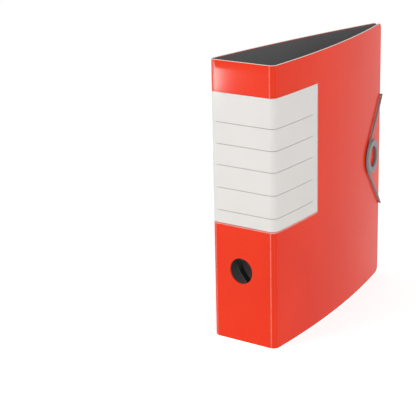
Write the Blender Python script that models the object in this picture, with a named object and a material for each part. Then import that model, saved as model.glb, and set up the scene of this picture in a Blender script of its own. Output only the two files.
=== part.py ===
"""Lever arch file, standing closed on its lower edges.

Metres, +Z up. The spine is centred on X = 0 and faces -Y, the front cover is on the +X side, the
back cover on the -X side, and both fore edges meet at +Y. The origin is the middle of the spine
board's lower edge. Sizes below are millimetres and are turned into metres when a mesh is made.
"""
from math import acos, asin, atan2, cos, degrees, hypot, pi, radians, sin, tan

import bmesh
import bpy
from mathutils import Matrix, Vector

MM = 0.001

# The case: three boards joined by two rounded folds, each with a crease on both sides.
HEIGHT = 318.0
SPINE_WIDTH = 72.5
COVER_DEPTH = 285.0
BOARD = 1.6
LINING = 0.4
LINING_GAP = 0.1
FOLD_CHORD = 7.7
CORNER_RADIUS = 8.0
CREASE_CLEAR = 0.9
LINING_INSET = 1.5
BACK_LEAN = 9.1
BACK_BOW = 5.0
FRONT_LEAN = 6.73
FRONT_BOW = 9.0
FRONT_CREASE_TURN = 17.0
BACK_CREASE_TURN = 18.5
INNER_FACE = BOARD + LINING_GAP + LINING

# The finger hole in the spine.
FINGER_RADIUS = 14.7
FINGER_X = -3.0
FINGER_Z = 83.4

# The label in its pocket, wrapped from the spine round the front fold on to the front cover.
LABEL_BOTTOM = 136.0
LABEL_TOP = 282.8
LABEL_ON_SPINE = 71.0
LABEL_ON_COVER = 84.8
LABEL_LIFT = 0.3
LABEL_THICK = 0.2
POCKET_LIFT = 0.8
POCKET_THICK = 0.2
POCKET_MARGIN = 2.0

# The closure: an elastic cord through four holes near the back cover's fore edge, and a button.
MIDDLE_Z = 159.0
RING_FROM_EDGE = 35.5
RING_Z = 159.5
RING_HOLE_RADIUS = 12.7
RING_NECK_RADIUS = 20.2
RING_RIM_RADIUS = 20.8
RING_HEIGHT = 2.8
BACKING_RADIUS = 17.0
BACKING_HEIGHT = 1.3
CORD_RADIUS = 1.25
CORD_LIFT = 1.6
CORD_HOLE_RADIUS = 1.8
CORD_FROM_EDGE = 18.0
CORD_NEAR_HOLE = 4.0
CORD_FAR_HOLE = 90.0
CORD_AT_EDGE = 68.5

# The mechanism, in the back cover's own frame: W into the file, U from the fold, Z up.
PLATE_U = (11.0, 55.0)
MECHANISM_U = 33.0
PLATE_Z = (97.0, 221.0)
PLATE_FLOOR = 1.0
PLATE_RIM = 2.7
PLATE_RIM_WIDTH = 2.2
PLATE_CORNER = 14.0
GAP = 0.3
FLOOR_W = GAP + PLATE_FLOOR
WIRE_RADIUS = 1.9
SHAFT_W = 5.0
ARCH_U = 22.0
POST_U = 49.0
HOOP_SPACING = 80.0
HOOP_TOP = 66.0
JOIN_W = 45.0
BEARING_Z = (126.0, 192.0)
BEARING_SIZE = (6.2, 6.4, 4.0)
RIVET_U = (19.0, 47.0)
RIVET_Z = (106.0, 212.0)
CHEEK_U = (27.0, 41.5)
CHEEK_THICK = 1.5
PIVOT_Z = 161.0
PIVOT_W = 13.0
HUB_RADIUS = 8.0
PIN_RADIUS = 2.0
LEVER_U = (29.0, 39.5)
LEVER_THICK = 1.6

RED = (0.80, 0.045, 0.02)
GREY = (0.105, 0.105, 0.11)
STEEL = (0.72, 0.71, 0.69)
BLACK = (0.015, 0.015, 0.016)


def make_material(name, colour, roughness, metallic=0.0):
    material = bpy.data.materials.new(name)
    material.use_nodes = True
    shader = material.node_tree.nodes["Principled BSDF"]
    shader.inputs["Base Color"].default_value = (*colour, 1.0)
    shader.inputs["Roughness"].default_value = roughness
    shader.inputs["Metallic"].default_value = metallic
    return material


def link(obj, parent=None, location=(0.0, 0.0, 0.0)):
    bpy.context.scene.collection.objects.link(obj)
    obj.parent = parent
    obj.location = Vector(location) * MM
    return obj


def mesh_object(name, points, faces, material, parent=None, location=(0.0, 0.0, 0.0), smooth=False):
    mesh = bpy.data.meshes.new(name)
    mesh.from_pydata([Vector(p) * MM for p in points], [], faces)
    bm = bmesh.new()
    bm.from_mesh(mesh)
    bmesh.ops.recalc_face_normals(bm, faces=bm.faces)
    bm.to_mesh(mesh)
    bm.free()
    if smooth:
        mesh.shade_smooth()
        mesh.set_sharp_from_angle(angle=radians(35))
    if material is not None:
        mesh.materials.append(material)
    return link(bpy.data.objects.new(name, mesh), parent, location)


def loft(name, stations, material, parent=None):
    """Closed strip through stations of four points each, with its two ends capped."""
    points = [p for station in stations for p in station]
    faces = [(3, 2, 1, 0)]
    for i in range(len(stations) - 1):
        a, b = 4 * i, 4 * i + 4
        faces += [(a + j, a + (j + 1) % 4, b + (j + 1) % 4, b + j) for j in range(4)]
    last = 4 * (len(stations) - 1)
    faces.append((last, last + 1, last + 2, last + 3))
    return mesh_object(name, points, faces, material, parent)


def prism(name, outline, low, high, place, material, parent=None, location=(0.0, 0.0, 0.0)):
    """An outline of (a, b) points pushed from low to high along the third axis."""
    count = len(outline)
    points = [place(a, b, low) for a, b in outline] + [place(a, b, high) for a, b in outline]
    faces = [tuple(range(count)), tuple(range(count, 2 * count))]
    faces += [(i, (i + 1) % count, (i + 1) % count + count, i + count) for i in range(count)]
    return mesh_object(name, points, faces, material, parent, location)


def turned(name, profile, place, material, parent=None, location=(0.0, 0.0, 0.0), steps=24):
    """A closed (radius, height) profile turned about its axis; radius 0 closes on the axis."""
    ring = [2 * pi * i / steps for i in range(steps)]
    points, index = [], []
    for radius, height in profile:
        if radius == 0:
            index.append([len(points)] * steps)
            points.append(place(0.0, 0.0, height))
        else:
            index.append(list(range(len(points), len(points) + steps)))
            points += [place(radius * cos(a), radius * sin(a), height) for a in ring]
    faces = []
    pairs = list(zip(index, index[1:] + index[:1]))
    if profile[0][0] == 0:
        pairs.pop()
    for here, there in pairs:
        for i in range(steps):
            j = (i + 1) % steps
            corners = [here[i], here[j], there[j], there[i]]
            faces.append(tuple(dict.fromkeys(corners)))
    return mesh_object(name, points, faces, material, parent, location, smooth=True)


def tube(name, path, radius, material, parent=None, location=(0.0, 0.0, 0.0), rounds=2):
    """A round wire or cord through a list of points, with filled ends."""
    curve = bpy.data.curves.new(name, "CURVE")
    curve.dimensions = "3D"
    curve.bevel_depth = radius * MM
    curve.bevel_resolution = rounds
    curve.use_fill_caps = True
    spline = curve.splines.new("POLY")
    spline.points.add(len(path) - 1)
    for point, place in zip(spline.points, path):
        point.co = (*(Vector(place) * MM), 1.0)
    curve.materials.append(material)
    return link(bpy.data.objects.new(name, curve), parent, location)


def rounded(corners, radius, steps=5):
    """Points of a closed outline with each corner rounded."""
    outline = []
    count = len(corners)
    for i in range(count):
        here = Vector(corners[i])
        before = (Vector(corners[i - 1]) - here).normalized()
        after = (Vector(corners[(i + 1) % count]) - here).normalized()
        half = acos(max(-1.0, min(1.0, before.dot(after)))) / 2
        reach = radius / tan(half)
        centre = here + (before + after).normalized() * (radius / sin(half))
        start = here + before * reach - centre
        end = here + after * reach - centre
        sweep = atan2(start.x * end.y - start.y * end.x, start.dot(end))
        for k in range(steps + 1):
            angle = sweep * k / steps
            outline.append((centre.x + start.x * cos(angle) - start.y * sin(angle),
                            centre.y + start.x * sin(angle) + start.y * cos(angle)))
    return outline


def through_points(points, steps=4):
    """A smooth open curve through hand-placed points (Catmull-Rom)."""
    padded = [2 * Vector(points[0]) - Vector(points[1])] + [Vector(p) for p in points]
    padded.append(2 * Vector(points[-1]) - Vector(points[-2]))
    curve = []
    for i in range(1, len(padded) - 2):
        a, b, c, d = padded[i - 1:i + 3]
        for k in range(steps):
            t = k / steps
            curve.append(0.5 * (2 * b + (c - a) * t + (2 * a - 5 * b + 4 * c - d) * t ** 2
                                + (3 * b - a - 3 * c + d) * t ** 3))
    curve.append(padded[-2])
    return curve


def cutter(name, radius, low, high, place, parent=None, location=(0.0, 0.0, 0.0), steps=16):
    obj = turned(name, [(0, low), (radius, low), (radius, high), (0, high)], place, None, parent,
                 location, steps)
    obj.hide_render = True
    obj.display_type = "WIRE"
    return obj


def cut(obj, *tools):
    for tool in tools:
        boolean = obj.modifiers.new("cut_" + tool.name, "BOOLEAN")
        boolean.operation = "DIFFERENCE"
        boolean.solver = "EXACT"
        boolean.object = tool


# Plan geometry of the case. Each board is a path: distance along it and depth inwards from its
# outer face give a plan point, and its outward direction goes with it.
SPINE_FACE_Y = -BOARD / 2


def spine_path(along, depth):
    return Vector((along, SPINE_FACE_Y + depth)), Vector((0.0, -1.0))


def arc_path(start, start_angle, radius, side):
    """Outer face of a board bent to an arc. Angles turn from the spine plane towards +Y."""
    def outward(angle):
        return Vector((side * sin(angle), -cos(angle)))

    centre = start - radius * outward(start_angle)

    def path(along, depth):
        angle = start_angle + along / radius
        return centre + (radius - depth) * outward(angle), outward(angle)

    return path


def fold_path(side, crease_turn, total_turn):
    """The rounded fold strip between its two creases, and its far crease."""
    start = Vector((side * SPINE_WIDTH / 2, SPINE_FACE_Y))
    arc = radians(total_turn - 2 * crease_turn)
    radius = FOLD_CHORD / (2 * sin(arc / 2))
    path = arc_path(start, radians(crease_turn), radius, side)
    length = radius * arc
    return path, length, path(length, 0.0)[0]


FRONT_RADIUS = COVER_DEPTH ** 2 / (8 * FRONT_BOW) + FRONT_BOW / 2
FRONT_HALF_ARC = degrees(COVER_DEPTH / (2 * FRONT_RADIUS))
FRONT_TURN = 90.0 + FRONT_LEAN - FRONT_HALF_ARC
BACK_RADIUS = COVER_DEPTH ** 2 / (8 * BACK_BOW) + BACK_BOW / 2
BACK_TURN = 90.0 + BACK_LEAN - degrees(COVER_DEPTH / (2 * BACK_RADIUS))
front_fold_path, FRONT_FOLD_LENGTH, FRONT_CREASE = fold_path(1, FRONT_CREASE_TURN, FRONT_TURN)
back_fold_path, BACK_FOLD_LENGTH, BACK_CREASE = fold_path(-1, BACK_CREASE_TURN, BACK_TURN)
front_path = arc_path(FRONT_CREASE, radians(FRONT_TURN), FRONT_RADIUS, 1)
back_path = arc_path(BACK_CREASE, radians(BACK_TURN), BACK_RADIUS, -1)


def facing(outward):
    """Places for a turned shape whose axis is a board's outward direction."""
    across = Vector((-outward.y, outward.x))

    def place(a, b, c):
        return (across.x * a + outward.x * c, across.y * a + outward.y * c, b)

    return place


def board(name, path, start, end, depths, mitres, inset, corner, bends, material, height=HEIGHT):
    """A board along a path, mitred towards its creases and rounded at its free corners."""
    outer, inner = depths
    stations = []
    steps = [start + (end - corner - start) * i / bends for i in range(bends + 1)]
    rounds = 5 if corner else 0
    steps += [end - corner * (1 - sin(pi / 2 * k / rounds)) for k in range(1, rounds + 1)]
    for along in steps:
        over = max(0.0, along - (end - corner))
        rise = corner - (corner ** 2 - over ** 2) ** 0.5 if corner else 0.0
        low, high = inset + rise, height - inset - rise
        lift = 0.0
        if along == steps[0]:
            lift = tan(radians(mitres[0]))
        elif along == steps[-1] and not corner:
            lift = -tan(radians(mitres[1]))
        a = path(along + outer * lift, outer)[0]
        b = path(along + inner * lift, inner)[0]
        stations.append([(a.x, a.y, low), (b.x, b.y, low), (b.x, b.y, high), (a.x, a.y, high)])
    return loft(name, stations, material)


def boarded(prefix, path, start, end, mitres, corner, bends, names=("panel", "lining")):
    """A board with its outer covering, and the lining glued to its inner face."""
    depths = ((0.0, BOARD), (BOARD + LINING_GAP, INNER_FACE))
    outer = board(f"{prefix}_{names[0]}", path, start, end, depths[0], mitres, 0.0, corner, bends,
                  make_material(f"{prefix}_{names[0]}", RED, 0.42))
    edge = 1.0 if corner else 0.0
    inner = board(f"{prefix}_{names[1]}", path, start + LINING_INSET * bool(mitres[0]),
                  end - (edge if corner else LINING_INSET), depths[1], mitres, 1.0,
                  max(0.0, corner - edge), bends, make_material(f"{prefix}_{names[1]}", GREY, 0.7))
    return outer, inner


def web(name, place, outward, normal_before):
    """The thin flexible line of covering left between two boards, at a crease."""
    across = Vector((-outward.y, outward.x))
    half, thick = 0.55, 0.4
    outline = [place + across * a - outward * b
               for a, b in ((-half, 0.05), (half, 0.05), (half, 0.05 + thick), (-half, 0.05 + thick))]
    return prism(name, [tuple(p) for p in outline], 0.0, HEIGHT, lambda a, b, c: (a, b, c),
                 make_material(name, normal_before, 0.5))


def build_case():
    half = SPINE_WIDTH / 2
    front_mitre = FRONT_CREASE_TURN / 2 + 3.0
    back_mitre = BACK_CREASE_TURN / 2 + 3.0
    spine, spine_lining = boarded("spine", spine_path, -half + CREASE_CLEAR, half - CREASE_CLEAR,
                                  (back_mitre, front_mitre), 0.0, 1)
    hole = cutter("finger_cutter", FINGER_RADIUS, -5.0, 5.0, lambda a, b, c: (a, c, b),
                  location=(FINGER_X, 0.0, FINGER_Z), steps=40)
    cut(spine, hole)
    lining_hole = cutter("finger_lining_cutter", FINGER_RADIUS + 0.6, -5.0, 5.0,
                         lambda a, b, c: (a, c, b), location=(FINGER_X, 0.0, FINGER_Z), steps=40)
    cut(spine_lining, lining_hole)
    boarded("front_fold", front_fold_path, CREASE_CLEAR, FRONT_FOLD_LENGTH - CREASE_CLEAR,
            (front_mitre, front_mitre), 0.0, 5, ("strip", "lining"))
    boarded("back_fold", back_fold_path, CREASE_CLEAR, BACK_FOLD_LENGTH - CREASE_CLEAR,
            (back_mitre, back_mitre), 0.0, 5, ("strip", "lining"))
    boarded("front_cover", front_path, CREASE_CLEAR, COVER_DEPTH, (front_mitre, 0.0),
            CORNER_RADIUS, 12)
    back, back_lining = boarded("back_cover", back_path, CREASE_CLEAR, COVER_DEPTH,
                                (back_mitre, 0.0), CORNER_RADIUS, 12)
    creases = (("spine_front_web", spine_path(half, 0.0), front_fold_path(0.0, 0.0)),
               ("front_cover_web", front_fold_path(FRONT_FOLD_LENGTH, 0.0), front_path(0.0, 0.0)),
               ("spine_back_web", spine_path(-half, 0.0), back_fold_path(0.0, 0.0)),
               ("back_cover_web", back_fold_path(BACK_FOLD_LENGTH, 0.0), back_path(0.0, 0.0)))
    for name, before, after in creases:
        web(name, before[0], (before[1] + after[1]).normalized(), RED)
    return back, back_lining


def wrapped(name, lift, thick, start, end, low, high, material):
    """A thin sheet that follows the spine, the front fold and the start of the front cover."""
    half = SPINE_WIDTH / 2
    places = [spine_path(half - start, 0.0), spine_path(0.0, 0.0), spine_path(half - 2.0, 0.0)]
    before, after = spine_path(half, 0.0), front_fold_path(0.0, 0.0)
    places.append((before[0], (before[1] + after[1]).normalized()))
    places += [front_fold_path(FRONT_FOLD_LENGTH * k / 4, 0.0) for k in (1, 2, 3)]
    before, after = front_fold_path(FRONT_FOLD_LENGTH, 0.0), front_path(0.0, 0.0)
    places.append((before[0], (before[1] + after[1]).normalized()))
    places += [front_path(end * k / 5, 0.0) for k in range(1, 6)]
    stations = []
    for place, outward in places:
        a, b = place + outward * (lift + thick), place + outward * lift
        stations.append([(a.x, a.y, low), (b.x, b.y, low), (b.x, b.y, high), (a.x, a.y, high)])
    return loft(name, stations, material)


def build_label():
    wrapped("label_card", LABEL_LIFT, LABEL_THICK, LABEL_ON_SPINE, LABEL_ON_COVER, LABEL_BOTTOM,
            LABEL_TOP, make_material("label_card", (0.85, 0.84, 0.81), 0.8))
    wrapped("label_pocket", POCKET_LIFT, POCKET_THICK, LABEL_ON_SPINE, LABEL_ON_COVER + POCKET_MARGIN,
            LABEL_BOTTOM - POCKET_MARGIN, LABEL_TOP + POCKET_MARGIN,
            make_material("label_pocket", (0.9, 0.9, 0.92), 0.15))


def build_button():
    """The closure's round button outside the front cover, and its backing ring inside."""
    along = COVER_DEPTH - RING_FROM_EDGE
    place, outward = front_path(along, 0.0)
    outside = facing(outward)
    profile = [(RING_HOLE_RADIUS, 0.0), (RING_NECK_RADIUS, 0.0), (RING_NECK_RADIUS, 1.2),
               (RING_RIM_RADIUS, 1.6), (RING_RIM_RADIUS, 2.1), (RING_RIM_RADIUS - 0.4, 2.6),
               (RING_RIM_RADIUS - 1.2, RING_HEIGHT), (RING_HOLE_RADIUS + 1.2, RING_HEIGHT),
               (RING_HOLE_RADIUS + 0.4, 2.6), (RING_HOLE_RADIUS, 2.0)]
    foot = place + outward * (GAP + 0.2)
    turned("ring_button", profile, outside, make_material("ring_button", (0.16, 0.17, 0.175), 0.5),
           location=(foot.x, foot.y, RING_Z), steps=40)
    inner_profile = [(RING_HOLE_RADIUS - 0.5, 0.0), (BACKING_RADIUS, 0.0),
                     (BACKING_RADIUS - 0.4, -0.9), (BACKING_RADIUS - 1.4, -BACKING_HEIGHT),
                     (RING_HOLE_RADIUS + 0.6, -BACKING_HEIGHT), (RING_HOLE_RADIUS - 0.2, -0.9)]
    foot = place - outward * (INNER_FACE + GAP + 0.2)
    turned("ring_backing", inner_profile, outside,
           make_material("ring_backing", (0.13, 0.13, 0.135), 0.5),
           location=(foot.x, foot.y, RING_Z), steps=40)


def cover_point(path, along, lift, height):
    place = path(along, -lift)[0]
    return (place.x, place.y, height)


def from_back(points):
    """Points given as W from the back cover's inner face, U along it and Z."""
    return [(*back_path(u, INNER_FACE + w)[0], z) for w, u, z in points]


def build_elastic(panels):
    """The elastic cord: two inner runs, their passes through the board and the closing loop."""
    cord = make_material("elastic_loop", (0.14, 0.15, 0.155), 0.85)
    hole_u = COVER_DEPTH - CORD_FROM_EDGE
    heights = {}
    for side, label in ((1, "upper"), (-1, "lower")):
        near = MIDDLE_Z + side * CORD_NEAR_HOLE
        far = MIDDLE_Z + side * CORD_FAR_HOLE
        heights[label] = (near, far)
        path = [(-INNER_FACE + 0.6, hole_u, near), (0.4, hole_u, near),
                (1.5, hole_u, near + side * 0.7), (CORD_LIFT, hole_u, near + side * 2.2),
                (CORD_LIFT, hole_u, far - side * 2.2), (1.5, hole_u, far - side * 0.7),
                (0.4, hole_u, far), (-INNER_FACE + 0.6, hole_u, far)]
        tube(f"elastic_inner_{label}", from_back(path), CORD_RADIUS,
             make_material(f"elastic_inner_{label}", (0.55, 0.55, 0.55), 0.85))
        outside = -INNER_FACE - CORD_LIFT
        edge = RING_Z + side * CORD_AT_EDGE
        path = [(-INNER_FACE - 0.1, hole_u, far), (-INNER_FACE - 1.0, hole_u, far),
                (outside, hole_u + 0.6, far - side * 0.6),
                (outside, COVER_DEPTH - 1.4, edge + side * 0.8)]
        tube(f"elastic_outer_{label}", from_back(path), CORD_RADIUS,
             make_material(f"elastic_outer_{label}", (0.14, 0.15, 0.155), 0.85))
    outside = -INNER_FACE - CORD_LIFT
    path = [(-INNER_FACE - 0.1, hole_u, heights["upper"][0]),
            (-INNER_FACE - 0.8, hole_u, heights["upper"][0]),
            (outside + 0.4, hole_u, heights["upper"][0] - 0.6),
            (outside, hole_u, heights["upper"][0] - 1.8),
            (outside, hole_u, heights["lower"][0] + 1.8),
            (outside + 0.4, hole_u, heights["lower"][0] + 0.6),
            (-INNER_FACE - 0.8, hole_u, heights["lower"][0]),
            (-INNER_FACE - 0.1, hole_u, heights["lower"][0])]
    tube("elastic_tie", from_back(path), CORD_RADIUS,
         make_material("elastic_tie", (0.14, 0.15, 0.155), 0.85))
    tools = []
    hole, outward = back_path(hole_u, 0.0)
    for label, pair in heights.items():
        for k, height in enumerate(pair):
            tools.append(cutter(f"cord_cutter_{label}_{k}", CORD_HOLE_RADIUS, -6.0, 6.0,
                                facing(outward), location=(hole.x, hole.y, height)))
    for panel in panels:
        cut(panel, *tools)

    ring_along = COVER_DEPTH - RING_FROM_EDGE
    wrap = RING_RIM_RADIUS + CORD_RADIUS + GAP
    path = []
    for side in (1, -1):
        rise = side * CORD_AT_EDGE
        reach = hypot(RING_FROM_EDGE, rise)
        tangent = atan2(rise, RING_FROM_EDGE) + side * acos(wrap / reach)
        touch = (ring_along + wrap * cos(tangent), RING_Z + wrap * sin(tangent))
        edge_z = RING_Z + side * CORD_AT_EDGE
        lift = CORD_LIFT
        around = [cover_point(back_path, COVER_DEPTH + 0.4, lift, edge_z),
                  cover_point(back_path, COVER_DEPTH + 1.7, lift - 0.6, edge_z),
                  cover_point(back_path, COVER_DEPTH + 2.2, lift - 2.2, edge_z),
                  cover_point(front_path, COVER_DEPTH + 2.2, lift - 2.2, edge_z),
                  cover_point(front_path, COVER_DEPTH + 1.7, lift - 0.4, edge_z),
                  cover_point(front_path, COVER_DEPTH + 0.2, lift + 0.2, edge_z)]
        for k in (1, 2, 3):
            share = k / 4
            along = COVER_DEPTH + (touch[0] - COVER_DEPTH) * share
            around.append(cover_point(front_path, along, lift + 0.25,
                                      edge_z + (touch[1] - edge_z) * share))
        end = tangent if side == 1 else tangent + 2 * pi
        if side == 1:
            path = around
            first = end
        else:
            steps = 8
            for k in range(steps + 1):
                angle = first + (end - first) * k / steps
                path.append(cover_point(front_path, ring_along + wrap * cos(angle), lift + 0.25,
                                        RING_Z + wrap * sin(angle)))
            path += around[::-1]
    hinge = back_path(COVER_DEPTH + 0.8, INNER_FACE)[0]
    path = [(x - hinge.x, y - hinge.y, z) for x, y, z in path]
    tube("elastic_loop", path, CORD_RADIUS, cord, location=(hinge.x, hinge.y, 0.0))
    return hinge


def wuz(a, b, c):
    """Profiles in the Z-W plane pushed along U."""
    return (b, c, a)


def along_w(a, b, c):
    return (c, a, b)


def along_u(a, b, c):
    return (a, c, b)


def along_z(a, b, c):
    return (a, b, c)


def build_plate(frame, steel):
    corners = [(PLATE_U[0], PLATE_Z[0]), (PLATE_U[1], PLATE_Z[0]), (PLATE_U[1], PLATE_Z[1]),
               (PLATE_U[0], PLATE_Z[1])]
    outer = rounded(corners, PLATE_CORNER)
    width = PLATE_RIM_WIDTH
    inner_corners = [(PLATE_U[0] + width, PLATE_Z[0] + width), (PLATE_U[1] - width, PLATE_Z[0] + width),
                     (PLATE_U[1] - width, PLATE_Z[1] - width), (PLATE_U[0] + width, PLATE_Z[1] - width)]
    inner = rounded(inner_corners, PLATE_CORNER - width)
    count = len(outer)
    rings = [[(GAP, u, z) for u, z in outer], [(PLATE_RIM, u, z) for u, z in outer],
             [(PLATE_RIM, u, z) for u, z in inner], [(FLOOR_W, u, z) for u, z in inner]]
    points = [p for ring in rings for p in ring]
    faces = [tuple(range(count)), tuple(range(3 * count, 4 * count))]
    for k in range(3):
        faces += [(k * count + i, k * count + (i + 1) % count, (k + 1) * count + (i + 1) % count,
                   (k + 1) * count + i) for i in range(count)]
    return mesh_object("base_plate", points, faces, steel("base_plate"), frame)


def build_rivets(frame, panels, steel):
    head = -INNER_FACE - GAP
    floor = FLOOR_W + GAP
    profile = [(0, head - 0.9), (3.4, head - 0.8), (4.5, head - 0.3), (4.5, head), (PIN_RADIUS, head),
               (PIN_RADIUS, floor), (3.4, floor), (3.2, floor + 0.7), (0, floor + 1.1)]
    tools = []
    for i, u in enumerate(RIVET_U):
        for k, z in enumerate(RIVET_Z):
            name = f"rivet_{('near', 'far')[i]}_{('lower', 'upper')[k]}"
            turned(name, profile, along_w, steel(name), frame, (0.0, u, z), 16)
            tools.append(cutter("cutter_" + name, PIN_RADIUS + 0.4, -8.0, 4.0, along_w, frame,
                                (0.0, u, z)))
    for panel in panels:
        cut(panel, *tools)


def build_bearings(frame, steel):
    """Lugs that hold the two shafts, and the black block round the middle of the post shaft."""
    width, depth, length = BEARING_SIZE
    for label, u in (("arch", ARCH_U), ("post", POST_U)):
        for k, z in enumerate(BEARING_Z):
            name = f"{label}_bearing_{('lower', 'upper')[k]}"
            base = FLOOR_W + GAP
            corners = [(base, u - width / 2), (SHAFT_W + depth / 2, u - width / 2),
                       (SHAFT_W + depth / 2, u + width / 2), (base, u + width / 2)]
            outline = rounded(corners, 1.4, 2)
            lug = prism(name, outline, z - length / 2, z + length / 2, along_z, steel(name), frame)
            cut(lug, cutter("cutter_" + name, WIRE_RADIUS + GAP, z - 5.0, z + 5.0, along_z, frame,
                            (SHAFT_W, u, 0.0)))
    base = FLOOR_W + GAP
    corners = [(base, POST_U - 4.4), (SHAFT_W + 3.8, POST_U - 3.4), (SHAFT_W + 3.8, POST_U + 2.6),
               (base, POST_U + 3.4)]
    block = prism("post_shaft_block", rounded(corners, 0.9, 2), 150.0, 170.0, along_z,
                  make_material("post_shaft_block", BLACK, 0.45), frame)
    cut(block, cutter("cutter_block", WIRE_RADIUS + GAP, 145.0, 175.0, along_z, frame,
                      (SHAFT_W, POST_U, 0.0)))


def build_bridge(frame, steel):
    """The A-shaped bridge: two cheeks joined by a web on the base plate, with the lever between."""
    base = FLOOR_W + GAP
    corners = [(PIVOT_Z - 25.0, base), (PIVOT_Z + 25.0, base), (PIVOT_Z + 25.0, base + 3.0),
               (PIVOT_Z + 7.5, 24.0), (PIVOT_Z - 7.5, 24.0), (PIVOT_Z - 25.0, base + 3.0)]
    bridge = prism("bridge", rounded(corners, 1.2, 2), CHEEK_U[0], CHEEK_U[1], wuz,
                   steel("bridge"), frame)
    slot = prism("cutter_slot", [(PIVOT_Z - 30.0, base + 1.2), (PIVOT_Z + 30.0, base + 1.2),
                                 (PIVOT_Z + 30.0, 30.0), (PIVOT_Z - 30.0, 30.0)],
                 CHEEK_U[0] + CHEEK_THICK, CHEEK_U[1] - CHEEK_THICK, wuz, None, frame)
    slot.hide_render = True
    slot.display_type = "WIRE"
    pin_hole = cutter("cutter_pin", PIN_RADIUS + GAP, CHEEK_U[0] - 3.0, CHEEK_U[1] + 3.0, along_u,
                      frame, (PIVOT_W, 0.0, PIVOT_Z))
    cut(bridge, slot, pin_hole)
    profile = [(0, 25.0), (3.4, 25.0), (3.4, 26.4), (PIN_RADIUS, 26.4), (PIN_RADIUS, 46.8),
               (3.2, 46.8), (3.0, 47.7), (0, 48.0)]
    turned("lever_pin", profile, along_u, steel("lever_pin"), frame, (PIVOT_W, 0.0, PIVOT_Z), 16)
    cap = rounded([(PIVOT_Z - 12.0, 24.3), (PIVOT_Z + 11.0, 24.3), (PIVOT_Z + 11.0, 27.0),
                   (PIVOT_Z - 4.0, 30.5), (PIVOT_Z - 12.0, 29.0)], 1.0, 2)
    prism("bridge_cap", cap, CHEEK_U[0] - 0.6, CHEEK_U[1] + 0.6, wuz,
          make_material("bridge_cap", BLACK, 0.45), frame)
    turns, per_turn = 2.25, 14
    coil = []
    for k in range(int(turns * per_turn) + 1):
        angle = 2 * pi * k / per_turn
        coil.append((6.0 * cos(angle), 42.6 + 1.45 * k / per_turn, 6.0 * sin(angle)))
    tube("lever_spring", coil, 0.6, steel("lever_spring"), frame, (PIVOT_W, 0.0, PIVOT_Z), rounds=1)


def build_lever(frame, steel):
    """The stamped lever: a hub on the pin and an S-shaped strip that runs out past the plate."""
    middle = through_points([(-9.0, -4.0), (-26.0, -5.2), (-43.0, -5.2), (-57.0, -5.0), (-66.0, -5.6),
                             (-75.0, -7.6), (-84.0, -8.6), (-92.0, -6.6), (-101.0, 1.0),
                             (-110.0, 10.5), (-116.0, 15.2), (-122.0, 17.0)], 2)
    upper, lower = [], []
    for i, here in enumerate(middle):
        ahead = middle[min(i + 1, len(middle) - 1)] - middle[max(i - 1, 0)]
        side = Vector((-ahead.y, ahead.x)).normalized() * LEVER_THICK / 2
        lower.append(here + side)
        upper.append(here - side)
    start = atan2(upper[0].y, upper[0].x)
    end = atan2(lower[0].y, lower[0].x)
    sweep = (end - start) % (2 * pi) - 2 * pi
    hub = [(HUB_RADIUS * cos(start + sweep * k / 22), HUB_RADIUS * sin(start + sweep * k / 22))
           for k in range(1, 22)]
    outline = [tuple(p) for p in reversed(upper)] + hub + [tuple(p) for p in lower]
    lever = prism("lever", outline, LEVER_U[0], LEVER_U[1], wuz, steel("lever"), frame,
                  (PIVOT_W, 0.0, PIVOT_Z))
    cut(lever, cutter("cutter_lever", PIN_RADIUS + GAP, LEVER_U[0] - 2.0, LEVER_U[1] + 2.0, along_u,
                      frame, (PIVOT_W, 0.0, PIVOT_Z)))
    return lever


def build_hoops(frame, steel):
    """The arch frame and the post frame: each one bent wire with its own shaft along Z."""
    low = MIDDLE_Z - HOOP_SPACING / 2
    high = MIDDLE_Z + HOOP_SPACING / 2
    arch = through_points([(-2.8, 14.0), (-6.2, 26.0), (-6.6, 38.0), (-3.6, 49.0), (3.6, 57.5),
                           (13.0, HOOP_TOP - SHAFT_W), (21.5, 58.0), (27.5, 50.0),
                           (POST_U - ARCH_U + 1.2, JOIN_W - SHAFT_W)], 2)
    leg = [(w, u) for u, w in arch]
    bend = [(5.0, -0.4), (1.6, 0.0)]
    path = [(w, u, low) for w, u in reversed(leg)] + [(w, u, low + k) for k, (w, u) in enumerate(bend)]
    path += [(0.0, 0.0, low + 2.6), (0.0, 0.0, high - 2.6)]
    path += [(w, u, high - 1 + k) for k, (w, u) in enumerate(reversed(bend))]
    path += [(w, u, high) for w, u in leg]
    tube("arch_frame", path, WIRE_RADIUS, steel("arch_frame"), frame, (SHAFT_W, ARCH_U, 0.0))
    tip = JOIN_W - SHAFT_W - GAP - 0.2
    path = [(tip, 1.2, low), (5.0, 0.2, low), (1.6, 0.0, low + 1.0), (0.0, 0.0, low + 2.6),
            (0.0, 0.0, high - 2.6), (1.6, 0.0, high - 1.0), (5.0, 0.2, high), (tip, 1.2, high)]
    tube("post_frame", path, WIRE_RADIUS, steel("post_frame"), frame, (SHAFT_W, POST_U, 0.0))


def build():
    for obj in list(bpy.data.objects):
        bpy.data.objects.remove(obj)

    def steel(name):
        return make_material(name, STEEL, 0.18, 1.0)

    back, back_lining = build_case()
    build_label()
    build_button()
    build_elastic((back, back_lining))
    inner, outward = back_path(MECHANISM_U, INNER_FACE)
    origin = inner - MECHANISM_U * Vector((outward.y, -outward.x))
    frame = link(bpy.data.objects.new("mechanism_frame", None), location=(origin.x, origin.y, 0.0))
    frame.rotation_euler = (0.0, 0.0, -asin(outward.y))
    plate = build_plate(frame, steel)
    build_rivets(frame, (back, back_lining, plate), steel)
    build_bearings(frame, steel)
    build_bridge(frame, steel)
    build_lever(frame, steel)
    build_hoops(frame, steel)


build()
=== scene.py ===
import bmesh
import bpy
import numpy as np
from mathutils import Matrix, Vector


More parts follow.
